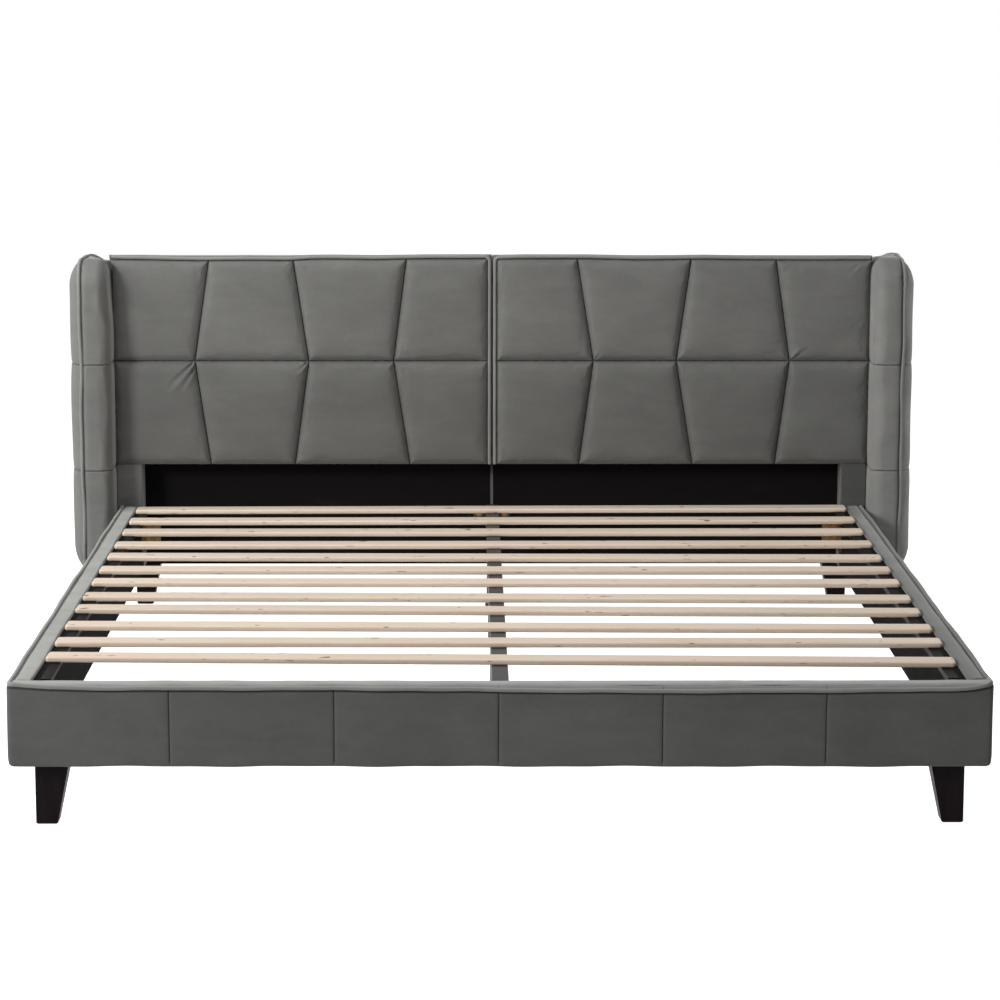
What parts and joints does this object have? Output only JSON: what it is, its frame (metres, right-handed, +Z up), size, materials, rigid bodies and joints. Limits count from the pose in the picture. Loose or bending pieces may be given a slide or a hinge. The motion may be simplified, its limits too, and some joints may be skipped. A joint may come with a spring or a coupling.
{
  "type": "upholstered double bed frame",
  "caption": "King-size platform bed frame in grey velvet: stitched winged headboard in two halves, padded rails, loose plywood slats, centre beam, tapered legs.",
  "frame": {"origin": "on the floor, in the middle of the bed's footprint", "axes": "+Z up, +Y from the footboard towards the headboard, X across the bed, which is the same on both sides"},
  "size_m": [2.258, 2.3158, 0.979],
  "materials": {
    "velvet": "grey velvet, short nap",
    "piping": "grey velvet welt cord",
    "black_lining": "black non-woven lining over board",
    "frame_timber": "bare sawn softwood and plywood",
    "slat_wood": "planed pale plywood slats",
    "black_steel": "dark grey powder coat",
    "zinc_hardware": "yellow zinc plate",
    "glide_plastic": "moulded black plastic",
    "leg_wood": "espresso black stain, satin"
  },
  "bodies": {
    "root": {"footboard_cover": "velvet", "left_rail_cover": "velvet", "left_headboard_back_cover": "velvet", "left_headboard_cushion": "velvet", "left_headboard_stile": "velvet", "left_wing_inner_pad": "velvet", "left_wing_outer_pad": "velvet", "right_rail_cover": "velvet", "right_headboard_back_cover": "velvet", "right_headboard_cushion": "velvet", "right_headboard_stile": "velvet", "right_wing_inner_pad": "velvet", "right_wing_outer_pad": "velvet", "footboard_piping": "piping", "left_rail_piping": "piping", "left_headboard_piping": "piping", "left_wing_piping": "piping", "right_rail_piping": "piping", "right_headboard_piping": "piping", "right_wing_piping": "piping", "footboard_core": "black_lining", "left_rail_core": "black_lining", "left_lower_panel": "black_lining", "right_rail_core": "black_lining", "right_lower_panel": "black_lining", "left_headboard_frame": "frame_timber", "left_wing_core": "frame_timber", "right_headboard_frame": "frame_timber", "right_wing_core": "frame_timber", "slat_01": "slat_wood", "slat_02": "slat_wood", "slat_03": "slat_wood", "slat_04": "slat_wood", "slat_05": "slat_wood", "slat_06": "slat_wood", "slat_07": "slat_wood", "slat_08": "slat_wood", "slat_09": "slat_wood", "slat_10": "slat_wood", "slat_11": "slat_wood", "slat_12": "slat_wood", "centre_beam": "black_steel", "beam_brackets": "black_steel", "left_slat_ledge": "black_steel", "right_slat_ledge": "black_steel", "foot_support_leg": "black_steel", "middle_support_leg": "black_steel", "head_support_leg": "black_steel", "headboard_support_leg": "black_steel", "corner_brackets": "zinc_hardware", "bracket_bolts": "zinc_hardware", "leg_bolts": "zinc_hardware", "left_front_leg": "leg_wood", "left_rear_leg": "leg_wood", "right_front_leg": "leg_wood", "right_rear_leg": "leg_wood"},
    "foot_glide": {"foot_levelling_glide": "glide_plastic"},
    "middle_glide": {"middle_levelling_glide": "glide_plastic"},
    "head_glide": {"head_levelling_glide": "glide_plastic"},
    "headboard_glide": {"headboard_levelling_glide": "glide_plastic"}
  },
  "joints": [
    {"name": "foot_glide_screw", "type": "slide", "parent": "root", "child": "foot_glide", "axis": [0, 0, -1], "range_m": [0, 0.012]},
    {"name": "middle_glide_screw", "type": "slide", "parent": "root", "child": "middle_glide", "axis": [0, 0, -1], "range_m": [0, 0.012]},
    {"name": "head_glide_screw", "type": "slide", "parent": "root", "child": "head_glide", "axis": [0, 0, -1], "range_m": [0, 0.012]},
    {"name": "headboard_glide_screw", "type": "slide", "parent": "root", "child": "headboard_glide", "axis": [0, 0, -1], "range_m": [0, 0.012]}
  ]
}
